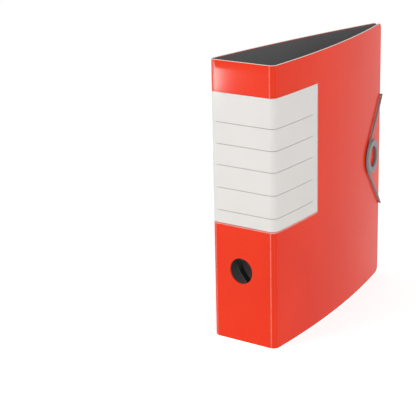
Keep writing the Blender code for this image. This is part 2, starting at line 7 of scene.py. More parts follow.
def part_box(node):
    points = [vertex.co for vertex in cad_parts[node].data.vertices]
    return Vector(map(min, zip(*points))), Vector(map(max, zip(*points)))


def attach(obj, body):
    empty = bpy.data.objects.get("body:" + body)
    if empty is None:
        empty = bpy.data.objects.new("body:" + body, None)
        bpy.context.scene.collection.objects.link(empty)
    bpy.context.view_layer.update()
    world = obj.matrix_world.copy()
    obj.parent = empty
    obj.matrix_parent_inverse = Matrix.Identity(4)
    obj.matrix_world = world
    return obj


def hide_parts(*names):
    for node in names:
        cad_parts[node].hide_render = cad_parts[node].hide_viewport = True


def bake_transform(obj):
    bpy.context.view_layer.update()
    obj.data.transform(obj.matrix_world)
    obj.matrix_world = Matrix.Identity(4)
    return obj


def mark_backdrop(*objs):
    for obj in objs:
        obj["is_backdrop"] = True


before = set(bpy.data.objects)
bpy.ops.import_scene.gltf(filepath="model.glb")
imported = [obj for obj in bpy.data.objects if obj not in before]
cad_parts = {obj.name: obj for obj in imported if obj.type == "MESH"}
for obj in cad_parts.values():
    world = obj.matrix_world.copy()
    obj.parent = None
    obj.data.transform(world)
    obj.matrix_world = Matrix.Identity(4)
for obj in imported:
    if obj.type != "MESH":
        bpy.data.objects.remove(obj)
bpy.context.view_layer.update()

# A lever arch file standing closed. Sizes in the dictionaries are millimetres.
mm = 0.001
pi = np.pi
scene = bpy.context.scene


# Nodes

def newMaterial(name, **settings):
    material = bpy.data.materials.new(name)
    material.use_nodes = True
    for label, value in settings.items():
        socket = material.node_tree.nodes["Principled BSDF"].inputs[label.replace("_", " ")]
        socket.default_value = value
    return material, material.node_tree


# Inputs are given by name, or by place after an underscore.
def addNode(tree, kind, settings=None, **inputs):
    made = tree.nodes.new(kind)
    for key, value in (settings or {}).items():
        setattr(made, key, value)
    for label, value in inputs.items():
        socket = made.inputs[int(label[1:]) if label[1:].isdigit() else label.replace("_", " ")]
        if isinstance(value, bpy.types.NodeSocket):
            tree.links.new(value, socket)
        else:
            socket.default_value = value
    return made


def noise(tree, vector, scale, detail=3.0, rough=0.5):
    return addNode(tree, "ShaderNodeTexNoise", None, Vector=vector, Scale=scale, Detail=detail,
                   Roughness=rough).outputs["Fac"]


# From low to high as the value goes through its own range, and level beyond it.
def span(tree, value, low, high, fromLow=0.0, fromHigh=1.0):
    return addNode(tree, "ShaderNodeMapRange", {"clamp": True}, _0=value, _1=fromLow, _2=fromHigh,
                   _3=low, _4=high).outputs[0]


def mixColour(tree, factor, first, second):
    first, second = ((*c, 1.0) if isinstance(c, tuple) else c for c in (first, second))
    return addNode(tree, "ShaderNodeMix", {"data_type": "RGBA"}, _0=factor, _6=first, _7=second).outputs[2]


# Two colours mixed by a noise: from the first to the second as it crosses its middle.
def cloudy(tree, value, first, second, most=1.0):
    return mixColour(tree, span(tree, value, 0.0, most, 0.35, 0.65), first, second)


def shade(colour, factor):
    return tuple(factor * c for c in colour)


def maths(tree, operation, first, second=0.0):
    return addNode(tree, "ShaderNodeMath", {"operation": operation}, _0=first, _1=second).outputs[0]


def objectPlace(tree):
    return addNode(tree, "ShaderNodeTexCoord").outputs["Object"]


# Metres along and across a piece's surface.
def surfaceAxes(tree):
    place = addNode(tree, "ShaderNodeUVMap", {"uv_map": "surface"}).outputs["UV"]
    return addNode(tree, "ShaderNodeSeparateXYZ", None, Vector=place).outputs[:2]


def pieceValue(tree, name):
    return addNode(tree, "ShaderNodeAttribute", {"attribute_name": name}).outputs["Fac"]


# Links the colour and roughness, and stacks (height, strength, distance in mm) bumps on to
# the shader's normal.
def dress(material, colour, roughness, layers):
    tree = material.node_tree
    shader = tree.nodes["Principled BSDF"]
    tree.links.new(colour, shader.inputs["Base Color"])
    tree.links.new(roughness, shader.inputs["Roughness"])
    normal = None
    for height, strength, distance in layers:
        made = addNode(tree, "ShaderNodeBump", None, Height=height, Strength=strength,
                       Distance=distance * mm)
        if normal is not None:
            tree.links.new(normal, made.inputs["Normal"])
        normal = made.outputs["Normal"]
    tree.links.new(normal, shader.inputs["Normal"])
    return material


# Finishes

def redFilm(name):
    look = {"red": (0.81, 0.041, 0.012), "deepRed": (0.75, 0.035, 0.010), "rubbed": (0.52, 0.03, 0.015),
            "edge": (0.88, 0.90, 0.83), "core": (0.74, 0.76, 0.70), "crease": (0.86, 0.44, 0.38)}
    material, tree = newMaterial(name, IOR=1.12, Coat_Weight=0.34, Coat_IOR=1.22, Coat_Roughness=0.10)
    place = objectPlace(tree)
    grain = noise(tree, place, 1400.0, 2.0)
    peel = noise(tree, place, 70.0, 2.0)
    rub = noise(tree, place, 260.0, 4.0, 0.65)
    worn = maths(tree, "MULTIPLY", pieceValue(tree, "crease"), span(tree, rub, 0.25, 0.65, 0.3, 0.7))
    edge = span(tree, pieceValue(tree, "edge"), 0.0, 1.0, 0.15, 0.40)
    core = mixColour(tree, span(tree, grain, 0.0, 1.0, 0.3, 0.7), look["edge"], look["core"])
    colour = cloudy(tree, noise(tree, place, 9.0, 2.0), look["red"], look["deepRed"])
    colour = mixColour(tree, worn, colour, look["crease"])
    colour = cloudy(tree, noise(tree, place, 620.0, 2.0), colour, look["rubbed"], 0.12)
    rough = maths(tree, "ADD", span(tree, rub, 0.27, 0.35, 0.3, 0.7), maths(tree, "MULTIPLY", edge, 0.3))
    return dress(material, mixColour(tree, edge, colour, core), rough,
                 [(peel, 0.10, 0.12), (rub, 0.16, 0.05), (grain, 0.10, 0.03)])


def greyLining(name, colour=(0.19, 0.19, 0.193), bandColour=(0.24, 0.241, 0.245)):
    material, tree = newMaterial(name, IOR=1.45)
    place = objectPlace(tree)
    grain = noise(tree, place, 1100.0, 4.0, 0.6)
    fleck = noise(tree, place, 420.0, 3.0)
    mixed = mixColour(tree, span(tree, grain, 0.0, 1.0, 0.38, 0.62), colour, shade(colour, 0.72))
    mixed = cloudy(tree, noise(tree, place, 14.0, 2.0), mixed, shade(colour, 1.12), 0.35)
    mixed = mixColour(tree, pieceValue(tree, "crease"), mixed, bandColour)
    return dress(material, mixed, span(tree, fleck, 0.55, 0.78, 0.3, 0.7),
                 [(fleck, 0.20, 0.06), (grain, 0.45, 0.08)])


# Matt card with thin grey rules: a rule is where the height on the label is near its own.
def labelCardFinish(name, rules):
    material, tree = newMaterial(name, IOR=1.4)
    place = objectPlace(tree)
    grain = noise(tree, place, 1600.0, 3.0)
    along, height = surfaceAxes(tree)
    lines = None
    for z in rules["heights"]:
        away = maths(tree, "ABSOLUTE", maths(tree, "SUBTRACT", height, z * mm))
        line = span(tree, away, 1.0, 0.0, *((rules["thick"] / 2 + k) * mm for k in (-0.08, 0.08)))
        lines = line if lines is None else maths(tree, "MAXIMUM", lines, line)
    inside = maths(tree, "MULTIPLY", maths(tree, "GREATER_THAN", along, rules["reach"][0] * mm),
                   maths(tree, "LESS_THAN", along, rules["reach"][1] * mm))
    paper = cloudy(tree, noise(tree, place, 25.0, 2.0), (0.715, 0.722, 0.695), (0.695, 0.702, 0.675))
    paper = mixColour(tree, span(tree, grain, 0.0, 0.25, 0.4, 0.6), paper, (0.66, 0.655, 0.63))
    return dress(material, mixColour(tree, maths(tree, "MULTIPLY", lines, inside), paper, rules["colour"]),
                 span(tree, grain, 0.7, 0.85, 0.3, 0.7), [(grain, 0.15, 0.02)])


# Clear film: nearly invisible on the flat and paler along its weld, with a painted shadow: darker red and
# less clear in a thin line beside the card's edge, where the film steps down.
def clearPocket(name):
    material, tree = newMaterial(name, IOR=1.35)
    place = objectPlace(tree)
    weld, card_edge_shadow = pieceValue(tree, "weld"), pieceValue(tree, "card_edge_shadow")
    stipple = noise(tree, place, 900.0, 2.0)
    ripple = noise(tree, place, 45.0, 2.0)
    paler = maths(tree, "MULTIPLY", weld, span(tree, stipple, 0.26, 0.46, 0.35, 0.65))
    seen = maths(tree, "ADD", 0.035, paler)
    # painted shadow: the film is made less clear along the line beside the card's edge
    seen = maths(tree, "ADD", seen, maths(tree, "MULTIPLY", card_edge_shadow, 0.45))
    tree.links.new(seen, tree.nodes["Principled BSDF"].inputs["Alpha"])
    # painted shadow: dark red colour along the same line beside the card's edge
    return dress(material, mixColour(tree, card_edge_shadow, (0.86, 0.66, 0.63), (0.36, 0.035, 0.02)),
                 span(tree, ripple, 0.08, 0.16, 0.3, 0.7),
                 [(ripple, 0.15, 0.15), (maths(tree, "MULTIPLY", weld, stipple), 0.5, 0.08)])


def mouldedPlastic(name, colour, rough):
    material, tree = newMaterial(name, IOR=1.48)
    place = objectPlace(tree)
    grain = noise(tree, place, 1500.0, 3.0, 0.6)
    mixed = cloudy(tree, noise(tree, place, 60.0, 2.0), colour, shade(colour, 0.86))
    return dress(material, mixed, span(tree, grain, rough - 0.06, rough + 0.08, 0.3, 0.7),
                 [(grain, 0.25, 0.04)])


# Two helices of yarn that cross, from the distance along the cord and the turn round it; the hollows
# between the yarns get a darker shade of the colour, as painted shade.
def braidedCord(name, colour):
    material, tree = newMaterial(name, IOR=1.4, Sheen_Weight=0.35, Sheen_Roughness=0.5)
    along, around = surfaceAxes(tree)
    turn = maths(tree, "MULTIPLY", around, 2 * pi * 6)
    run = maths(tree, "MULTIPLY", along, 2 * pi / (1.7 * mm))
    yarn = maths(tree, "MAXIMUM", *(maths(tree, "SINE", maths(tree, way, turn, run))
                                    for way in ("ADD", "SUBTRACT")))
    fluff = noise(tree, objectPlace(tree), 2600.0, 3.0)
    # painted shade: the hollows between the yarns are darkened to 0.45 of the colour
    mixed = mixColour(tree, span(tree, yarn, 0.0, 1.0, -0.6, 0.8), shade(colour, 0.45), colour)
    mixed = mixColour(tree, span(tree, fluff, 0.0, 0.4, 0.4, 0.7), mixed, shade(colour, 1.2))
    return dress(material, mixed, span(tree, fluff, 0.75, 0.95, 0.3, 0.7),
                 [(yarn, 0.55, 0.16), (fluff, 0.3, 0.05)])


def nickelPlate(name, brush=(1.0, 1.0, 1.0)):
    material, tree = newMaterial(name, Metallic=1.0)
    place = objectPlace(tree)
    stretched = addNode(tree, "ShaderNodeMapping", None, Vector=place, Scale=brush).outputs["Vector"]
    scratch = noise(tree, stretched, 700.0, 4.0, 0.7)
    cloud = noise(tree, place, 55.0, 2.0)
    rough = maths(tree, "ADD", span(tree, scratch, 0.05, 0.16, 0.35, 0.75),
                  span(tree, cloud, 0.0, 0.06, 0.4, 0.7))
    return dress(material, cloudy(tree, cloud, (0.58, 0.57, 0.55), (0.48, 0.475, 0.46)), rough,
                 [(scratch, 0.08, 0.02)])


# Meshes

# Points in millimetres and quads by index, both arrays; caps are extra many-sided faces.
# Normals are turned outwards, since every piece is closed.
def addMesh(name, points, faces, material, uv=None, values=None, sharp=42.0, caps=()):
    mesh = bpy.data.meshes.new(name)
    allFaces = np.asarray(faces).tolist() + [np.asarray(c).tolist() for c in caps]
    mesh.from_pydata((np.asarray(points, float) * mm).tolist(), [], allFaces)
    if uv is not None:
        corner = np.zeros(len(mesh.loops), int)
        mesh.loops.foreach_get("vertex_index", corner)
        flat = uv[corner] if len(uv) == len(points) else uv
        mesh.uv_layers.new(name="surface").data.foreach_set("uv", np.asarray(flat, np.float32).ravel())
    for label, numbers in (values or {}).items():
        mesh.attributes.new(label, "FLOAT", "POINT").data.foreach_set(
            "value", np.asarray(numbers, np.float32))
    work = bmesh.new()
    work.from_mesh(mesh)
    bmesh.ops.recalc_face_normals(work, faces=work.faces)
    work.to_mesh(mesh)
    work.free()
    mesh.shade_smooth()
    mesh.set_sharp_from_angle(angle=np.radians(sharp))
    mesh.materials.append(material)
    obj = bpy.data.objects.new(name, mesh)
    scene.collection.objects.link(obj)
    return obj


def gridFaces(index):
    return np.stack([index[:-1, :-1], index[1:, :-1], index[1:, 1:], index[:-1, 1:]], -1).reshape(-1, 4)


def ringFaces(first, second):
    return np.stack([first, np.roll(first, -1), np.roll(second, -1), second], -1)


def stackFaces(rings):
    return np.vstack([ringFaces(a, b) for a, b in zip(rings, rings[1:])])


# Catmull-Rom through the points, then evenly spaced along its length.
def smoothPath(points, spacing):
    points = np.asarray(points, float)
    ends = np.vstack([2 * points[0] - points[1], points, 2 * points[-1] - points[-2]])
    a, b, c, d = (ends[k:len(ends) - 3 + k][:, None] for k in range(4))
    t = np.linspace(0, 1, 12, endpoint=False)[None, :, None]
    fine = 0.5 * (2 * b + (c - a) * t + (2 * a - 5 * b + 4 * c - d) * t ** 2
                  + (3 * b - a - 3 * c + d) * t ** 3)
    fine = np.vstack([fine.reshape(-1, points.shape[1]), points[-1:]])
    run = np.concatenate([[0], np.cumsum(np.linalg.norm(np.diff(fine, axis=0), axis=1))])
    even = np.linspace(0, run[-1], max(3, int(round(run[-1] / spacing)) + 1))
    return np.stack([np.interp(even, run, fine[:, k]) for k in range(points.shape[1])], -1)


def unit(v):
    return v / np.maximum(np.linalg.norm(v, axis=-1, keepdims=True), 1e-9)


# Directions along the path and two across it that turn as little as they can.
def steadyFrames(path):
    ahead = unit(np.gradient(path, axis=0))
    first = np.cross(ahead[0], (0.3, 0.5, 0.81))
    across = [first / np.linalg.norm(first)]
    for k in range(1, len(path)):
        side = across[-1] - ahead[k] * (across[-1] @ ahead[k])
        across.append(side / np.linalg.norm(side))
    across = np.array(across)
    return ahead, across, np.cross(ahead, across)


# A round section carried along a path; the ends close in a short dome.
def tube(name, path, radius, material, sides=14, endRound=0.5):
    path = np.asarray(path, float)
    ahead, across, up = steadyFrames(path)
    bend = np.linspace(0, pi / 2, 4)[1:]
    head = path[0] - ahead[0] * radius * endRound * np.sin(bend)[:, None]
    tail = path[-1] + ahead[-1] * radius * endRound * np.sin(bend)[:, None]
    centres = np.vstack([head[::-1], path, tail])
    dome = radius * np.cos(bend) * 0.999 + 0.02
    width = np.concatenate([dome[::-1], np.full(len(path), float(radius)), dome])
    across, up = (np.vstack([v[[0, 0, 0]], v, v[[-1, -1, -1]]]) for v in (across, up))
    turn = 2 * pi * np.arange(sides) / sides
    ring = across[:, None] * np.cos(turn)[:, None] + up[:, None] * np.sin(turn)[:, None]
    points = centres[:, None] + ring * width[:, None, None]
    count = len(centres)
    run = np.concatenate([[0], np.cumsum(np.linalg.norm(np.diff(centres, axis=0), axis=1))])
    index = np.arange(count * sides).reshape(count, sides)
    faces = gridFaces(np.hstack([index, index[:, :1]]))
    places = np.stack(np.meshgrid(run * mm, np.arange(sides + 1) / sides, indexing="ij"), -1)
    corners = gridFaces(np.arange(count * (sides + 1)).reshape(count, sides + 1)).ravel()
    uv = np.vstack([places.reshape(-1, 2)[corners], np.zeros((2 * sides, 2))])
    return addMesh(name, points.reshape(-1, 3), faces, material, uv=uv,
                   caps=(index[0], index[-1][::-1]))


# The case seen from above: both covers start from the spine's outer face.

case = {
    "height": 318.0, "spineWidth": 72.5, "coverDepth": 285.0, "board": 1.6, "inner": 2.1,
    "foldChord": 7.7, "frontCrease": 17.0, "frontLean": 6.73, "frontBow": 9.0,
    "backCrease": 18.5, "backLean": 9.1, "backBow": 5.0, "corner": 8.0, "creaseSoft": 1.0,
    "groove": 0.22,
}
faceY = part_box("spine_panel")[0].y / mm  # the spine board's outer face
halfSpine = case["spineWidth"] / 2


# A board line seen from above. Its heading turns by the crease angle at each crease, evenly
# along the fold between them, and by one part in the bow radius along the cover; x and y are
# running sums of the heading's cosine and sine.
def planLine(side, crease, total, radius):
    arc = np.radians(total - 2 * crease)
    length = case["foldChord"] / (2 * np.sin(arc / 2)) * arc
    s = np.arange(-case["spineWidth"], length + case["coverDepth"] + 6, 0.05)

    def ease(centre):
        t = np.clip((s - centre) / case["creaseSoft"] * 0.5 + 0.5, 0, 1)
        return t * t * (3 - 2 * t)

    heading = (np.radians(crease) * (ease(0.0) + ease(length)) + arc * np.clip(s / length, 0, 1)
               + np.maximum(s - length, 0) / radius)
    middle = (heading[1:] + heading[:-1]) / 2
    x = np.concatenate([[0], np.cumsum(np.cos(middle) * 0.05)]) - halfSpine
    y = np.concatenate([[0], np.cumsum(np.sin(middle) * 0.05)]) + faceY
    return {"side": side, "s": s, "x": x, "y": y, "heading": heading, "length": length}


# A cover bowed out by the sagitta bow: its radius is depth squared over eight bows, plus half.
def coverLine(side, crease, lean, bow):
    radius = case["coverDepth"] ** 2 / (8 * bow) + bow / 2
    return planLine(side, crease, 90 + lean - np.degrees(case["coverDepth"] / (2 * radius)), radius)


frontLine = coverLine(1, case["frontCrease"], case["frontLean"], case["frontBow"])
backLine = coverLine(-1, case["backCrease"], case["backLean"], case["backBow"])


# Plan point at distance s along a line and a depth inwards from the outer face.
def onLine(line, s, depth=0.0):
    heading = np.interp(s, line["s"], line["heading"])
    x = line["side"] * (np.interp(s, line["s"], line["x"]) - depth * np.sin(heading))
    y = np.interp(s, line["s"], line["y"]) + depth * np.cos(heading)
    return np.stack([x, y], -1)


# The unit normal that points out of the case: the heading turned by a right angle.
def outwards(line, s):
    heading = np.interp(s, line["s"], line["heading"])
    return np.stack([line["side"] * np.sin(heading), -np.cos(heading)], -1)


def inSpace(line, s, z, depth=0.0):
    s, z = np.broadcast_arrays(np.asarray(s, float), np.asarray(z, float))
    return np.concatenate([onLine(line, s, depth), z[..., None]], -1)


# The exponential of minus the squared distance from the centre, in widths.
def bell(s, centre, width):
    return np.exp(-((s - centre) / width) ** 2)


# A board, lining or film along a plan line: two grids of (distance, height), joined round
# their rim by quarter-circle edges; the end away from the creases may have round corners.
def sheetPiece(name, line, along, rows, heights, depths, material, fillet=0.45, corner=0.0,
               rounded=(False, True), groove=0.0, creases=(), creaseWidth=0.55,
               marks=(1.0, 0.10, 0.10), hole=None, lift=None):
    bend = np.linspace(0, pi / 2, 9)[1:]
    steps = np.linspace(0, pi / 2, 5)[1:]
    along, rows = np.asarray(along, float), np.asarray(rows, float)
    thick = depths[1] - depths[0]

    def outline(inset):
        s = along.copy()
        low = np.full(len(s), heights[0] + inset)
        if rounded[0]:
            s[0] += inset
        if corner:
            left = corner - inset
            s = np.concatenate([s, along[-1] + left * np.sin(bend)])
            low = np.concatenate([low, heights[0] + inset + left * (1 - np.cos(bend))])
        elif rounded[1]:
            s[-1] -= inset
        return s, low, heights[0] + heights[1] - low

    def face(inset):
        s, low, high = outline(inset)
        z = low[:, None] + (high - low)[:, None] * rows
        return np.broadcast_to(s[:, None], z.shape), z

    def rim(grid):
        return np.concatenate([grid[:, 0], grid[-1, 1:-1], grid[::-1, -1], grid[0, -2:0:-1]])

    def sunk(s):
        return groove * sum(bell(s, c, 0.5) for c in creases) if creases else 0.0 * s

    s, z = face(fillet)
    shape = s.shape
    outer = np.arange(s.size).reshape(shape)
    inner = outer + s.size
    s, z = s.ravel(), z.ravel()
    parts = [(s, z, depths[0] + sunk(s), 0 * s), (s, z, depths[1] + 0 * s, 0 * s)]
    rings, used = [rim(outer)], 2 * s.size
    quarter = [(fillet * (1 - np.sin(a)), fillet * (1 - np.cos(a)), 0) for a in steps]
    quarter += [(fillet * (1 - np.cos(a)), thick - fillet + fillet * np.sin(a), 1)
                for a in np.concatenate([[0], steps[:-1]])]
    for inset, deep, late in quarter:
        s, z = (rim(g) for g in face(inset))
        parts.append((s, z, depths[0] + deep + sunk(s) * (1 - late),
                      np.full(len(s), 1 - inset / fillet)))
        rings.append(used + np.arange(len(s)))
        used += len(s)
    rings.append(rim(inner))
    keep = np.ones((shape[0] - 1, shape[1] - 1), bool)
    faces = []
    if hole:
        i = [int(np.argmin(abs(along - (hole["s"] + k * hole["half"])))) for k in (-1, 1)]
        zs = (heights[0] + fillet) + (heights[1] - heights[0] - 2 * fillet) * rows
        j = [int(np.argmin(abs(zs - (hole["z"] + k * hole["half"])))) for k in (-1, 1)]
        keep[i[0]:i[1], j[0]:j[1]] = False
        patch = outer[i[0]:i[1] + 1, j[0]:j[1] + 1]
        border = np.concatenate([patch[:, 0], patch[-1, 1:], patch[-2::-1, -1], patch[0, -2:0:-1]])
        edgeS, edgeZ = parts[0][0][border], parts[0][1][border]
        angle = np.arctan2(edgeZ - hole["z"], edgeS - hole["s"])

        def circle(radius):
            return hole["s"] + radius * np.cos(angle), hole["z"] + radius * np.sin(angle)

        out = circle(hole["radius"] + fillet)
        flat = [(edgeS + (out[0] - edgeS) * t, edgeZ + (out[1] - edgeZ) * t)
                for t in (0.35, 0.65, 0.85, 0.95, 1.0)]
        layers = [(a, b, 0.0, 0.0) for a, b in flat]
        layers += [(*circle(hole["radius"] + inset), deep, 0.4) for inset, deep, _ in quarter]
        layers += [(a, b, thick, 0.0) for a, b in flat[::-1]]
        chain = [border]
        for a, b, deep, edge in layers:
            parts.append((a, b, depths[0] + deep + 0 * a, edge + 0 * a))
            chain.append(used + np.arange(len(a)))
            used += len(a)
        chain.append(border + outer.size)
        faces.append(stackFaces(chain))
    faces = [gridFaces(outer).reshape(shape[0] - 1, shape[1] - 1, 4)[keep],
             gridFaces(inner)[:, ::-1].reshape(shape[0] - 1, shape[1] - 1, 4)[keep]] + faces
    faces.append(stackFaces(rings))
    s, z, depth, edge = (np.concatenate([p[k] for p in parts]) for k in range(4))
    if lift is not None:
        depth = depth - lift(s, z)
    crease = sum(bell(s, c, creaseWidth) * w for c, w in zip(creases, marks)) if creases else 0 * s
    edge = edge * np.clip(1.1 - np.minimum(z - heights[0], heights[1] - z) / 8, 0, 1)
    # one measure across the spine from either side
    run = s if line["side"] > 0 else -case["spineWidth"] - s
    return addMesh(name, np.concatenate([onLine(line, s, depth), z[:, None]], -1), np.vstack(faces),
                   material, uv=np.stack([run, z], -1) * mm, values={"edge": edge, "crease": crease})


# Sorted values from (start, end, count) spans, without near doubles.
def spread(*spans):
    values = np.sort(np.concatenate([np.linspace(*s) for s in spans]))
    return values[np.concatenate([[True], np.diff(values) > 1e-6])]


def ridingPiece(obj, body, *nodes):
    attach(obj, body)
    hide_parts(*nodes)
    return obj


# The piece is baked where it stands, and the parts it replaces are hidden.
def bendingPiece(obj, nodes):
    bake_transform(obj)
    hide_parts(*nodes)
    return obj


frontFold, backFold = frontLine["length"], backLine["length"]
frontEnd, backEnd = frontFold + case["coverDepth"], backFold + case["coverDepth"]
fileHeight = case["height"]
finger = {"s": -3.0 - halfSpine, "z": 83.4, "radius": 14.7, "half": 20.0, "steps": 17}
rimRow = 0.35  # the outermost rows lie this close to the ends
tallRows = spread((rimRow, fileHeight - rimRow, 41), (0, fileHeight, 2)) / fileHeight
spineRows = spread((rimRow, 55, 6), (112, fileHeight - rimRow, 21), (0, fileHeight, 2),
                   (finger["z"] - finger["half"], finger["z"] + finger["half"], finger["steps"]))


# Heights as shares from low to high, without doubles where they are clipped.
def asRows(z, low, high):
    rows = np.clip((z - low) / (high - low), 0, 1)
    return rows[np.concatenate([[True], np.diff(rows) > 1e-5])]


def nearCrease(crease):
    return (crease - 3.0, crease + 3.0, 25)


# Distances along a cover, up to where its round corners start.
def coverAlong(line):
    fold = line["length"]
    return spread((fold / 2, fold - 3, 4), nearCrease(fold), (fold + 4, fold + 10, 3),
                  (fold + 16, fold + case["coverDepth"] - case["corner"], 38))


spineAlong = spread((-70, -69.7, 2), (-64, -64, 1), nearCrease(0.0), (-13, -5, 4), (3.0, frontFold / 2, 4),
                    (finger["s"] - finger["half"], finger["s"] + finger["half"], finger["steps"]))
backEdgeAlong = spread((-2.5, -2.5, 1), (-2.3, 3, 23), (3, backFold / 2, 4))
print("finishes and helpers ready")

# Boards and their linings

sheets = [  # pieces, line, distances, crease, bodies, board's nodes and slot, lining's nodes
    (("spine", "inner_spine_lining"), frontLine, spineAlong, 0.0, ("spine", "front_fold"),
     ("spine_panel", "spine_front_web", "front_fold_strip"), "spine_panel",
     ("spine_lining", "front_fold_lining")),
    (("spine_back_edge", "inner_spine_back_lining"), backLine, backEdgeAlong, 0.0, ("spine", "back_fold"),
     ("spine_back_web", "back_fold_strip"), "back_fold_strip", ("back_fold_lining",)),
    (("front_cover", "inner_front_cover_lining"), frontLine, coverAlong(frontLine), frontFold,
     ("front_fold", "front_cover"), ("front_cover_panel", "front_cover_web"), "front_cover_panel",
     ("front_cover_lining",)),
    (("back_cover", "inner_back_cover_lining"), backLine, coverAlong(backLine), backFold,
     ("back_fold", "back_cover"), ("back_cover_panel", "back_cover_web"), "back_cover_panel",
     ("back_cover_lining",)),
]
board = {"material": redFilm("red_film"), "depths": (0.0, case["board"]), "inset": 0.0, "rowInset": 0.45,
         "corner": case["corner"], "hole": finger["radius"], "more": {"groove": case["groove"]}}
lining = {"material": greyLining("grey_lining"), "depths": (case["board"] + 0.02, case["inner"]),
          "inset": 1.0, "rowInset": 0.15, "corner": 7.0, "hole": 15.2,
          "more": {"fillet": 0.15, "creaseWidth": 0.8, "marks": (1.0, 0.45, 0.45)}}


# One layer of the case: the spine has the finger hole, and the covers have round corners.
def layer(skin, place):
    low, high = skin["inset"], fileHeight - skin["inset"]
    for names, line, along, crease, bodies, nodes, slot, linings in sheets:
        isSpine, isCover = along is spineAlong, crease > 0
        rows = asRows(spineRows, low + skin["rowInset"], high - skin["rowInset"]) if isSpine else tallRows
        fold = line["length"]
        piece = sheetPiece(names[place], line, along, rows, (low, high), skin["depths"], skin["material"],
                           corner=skin["corner"] if isCover else 0.0, rounded=(False, isCover),
                           creases=(0.0, fold * 0.55, fold),
                           hole=dict(finger, radius=skin["hole"]) if isSpine else None, **skin["more"])
        if place:
            nodes, slot = linings, linings[0]
        bendingPiece(piece, nodes)


layer(board, 0)
layer(lining, 1)
print("case ready")

# The label card and its clear pocket

label = {"ends": (136.0, 282.8), "edgeEnd": 2.3, "coverEnd": 84.8, "depths": (-0.5, -0.3), "fillet": 0.03}
# the last pair places the painted shadow line beside the card's edge
pocket = {"margin": 2.0, "depths": (-0.62, -0.54), "pastEdge": 0.4, "pastTop": 0.2, "drop": 0.40,
          "weld": (0.5, 0.5), "card_edge_shadow": (1.8, 0.35)}
rules = {"heights": (249.9, 225.8, 202.0, 176.4, 150.6), "reach": (-69.2, frontFold + 73.9),
         "thick": 0.62, "colour": (0.20, 0.20, 0.20)}


# A card or film in three pieces: past the spine's back corner, on the spine, and on the
# cover. Their distances are close together at the creases and at the free ends.
def labelPieces(name, start, end, ends, depths, material, lift=None):
    bottom, top = ends
    end = frontFold + end
    onEdge = spread((-2.5, start - 1.2, 11), (start - 0.9, start, 4))
    onSpine = spread((-70, -69.7, 2), (-64, -6, 8), nearCrease(0.0), (3, frontFold / 2, 4))
    onCover = spread((frontFold / 2, frontFold - 3, 4), nearCrease(frontFold),
                     (frontFold + 6, end - 9, 8), (end - 2.6, end, 14))
    z = spread((bottom, bottom + 2.6, 14), (bottom + 9, top - 9, 12), (top - 3.4, top - 1.2, 3),
               (top - 0.3, top, 2))
    parts = [("_on_edge", backLine, onEdge, 0.0, ("spine", "back_fold")),
             ("_on_spine", frontLine, onSpine, 0.0, ("spine", "front_fold")),
             ("_on_cover", frontLine, onCover, frontFold, ("front_fold", "front_cover"))]
    made = []
    for word, line, along, crease, bodies in parts:
        piece = sheetPiece(name + word, line, along, (z - bottom) / (top - bottom), ends, depths, material,
                           fillet=label["fillet"], rounded=(False, word != "_on_spine"), lift=lift)
        made.append(bendingPiece(piece, (name,)))
    return made


# Distance in from the pocket's welded border, which leaves its top open.
def toBorder(s, z):
    return np.minimum(frontFold + label["coverEnd"] - s, z - label["ends"][0]) + pocket["margin"]


# The film lies over the card and comes down to the board along its welded border.
def pocketLift(s, z):
    t = np.clip((toBorder(s, z) - 1.3) / 1.1, 0, 1)
    return -pocket["drop"] * (1 - t * t * (3 - 2 * t))


# Bells over the distance from the border: where the weld lies, and the painted shadow line beside the
# card's edge, where the film steps down.
def markPocket(piece):
    places = np.zeros(2 * len(piece.data.loops), np.float32)
    piece.data.uv_layers["surface"].data.foreach_get("uv", places)
    corner = np.zeros(len(piece.data.loops), int)
    piece.data.loops.foreach_get("vertex_index", corner)
    flat = np.zeros((len(piece.data.vertices), 2))
    flat[corner] = places.reshape(-1, 2) / mm
    inset = toBorder(flat[:, 0], flat[:, 1])
    for word in ("weld", "card_edge_shadow"):
        values = bell(inset, *pocket[word]).astype(np.float32)
        piece.data.attributes.new(word, "FLOAT", "POINT").data.foreach_set("value", values)


labelPieces("label_card", label["edgeEnd"], label["coverEnd"], label["ends"], label["depths"],
            labelCardFinish("label_card_paper", rules))
for piece in labelPieces("label_pocket", label["edgeEnd"] + pocket["pastEdge"],
                         label["coverEnd"] + pocket["margin"],
                         (label["ends"][0] - pocket["margin"], label["ends"][1] + pocket["pastTop"]),
                         pocket["depths"], clearPocket("label_pocket_film"), pocketLift):
    markPocket(piece)
print("label ready")

# The button and its backing ring

button = {"fromEdge": 35.5, "z": 159.5, "rim": 20.8, "lift": 0.5, "colour": (0.20, 0.205, 0.21),
          "profile": [(13.0, -0.45), (16.5, -0.5), (19.9, -0.45), (20.25, 0.2), (20.3, 1.1), (20.75, 1.55),
                      (20.8, 2.0), (20.5, 2.45), (19.7, 2.75), (18.4, 2.8), (16.6, 2.8), (14.6, 2.78),
                      (13.4, 2.6), (12.85, 2.1), (12.75, 1.2), (12.8, 0.2), (13.0, -0.45)]}
backing = {"lift": -case["inner"] - 0.5, "colour": (0.125, 0.127, 0.13),
           "profile": [(12.6, 0.45), (15, 0.5), (16.9, 0.4), (17.0, -0.1), (16.8, -0.75), (16.1, -1.15),
                       (14.9, -1.3), (13.7, -1.2), (12.9, -0.8), (12.55, -0.2), (12.6, 0.45)]}
ringAlong = frontEnd - button["fromEdge"]
ringCentre = onLine(frontLine, ringAlong)
ringOut = outwards(frontLine, ringAlong)
up = np.array([0.0, 0.0, 1.0])


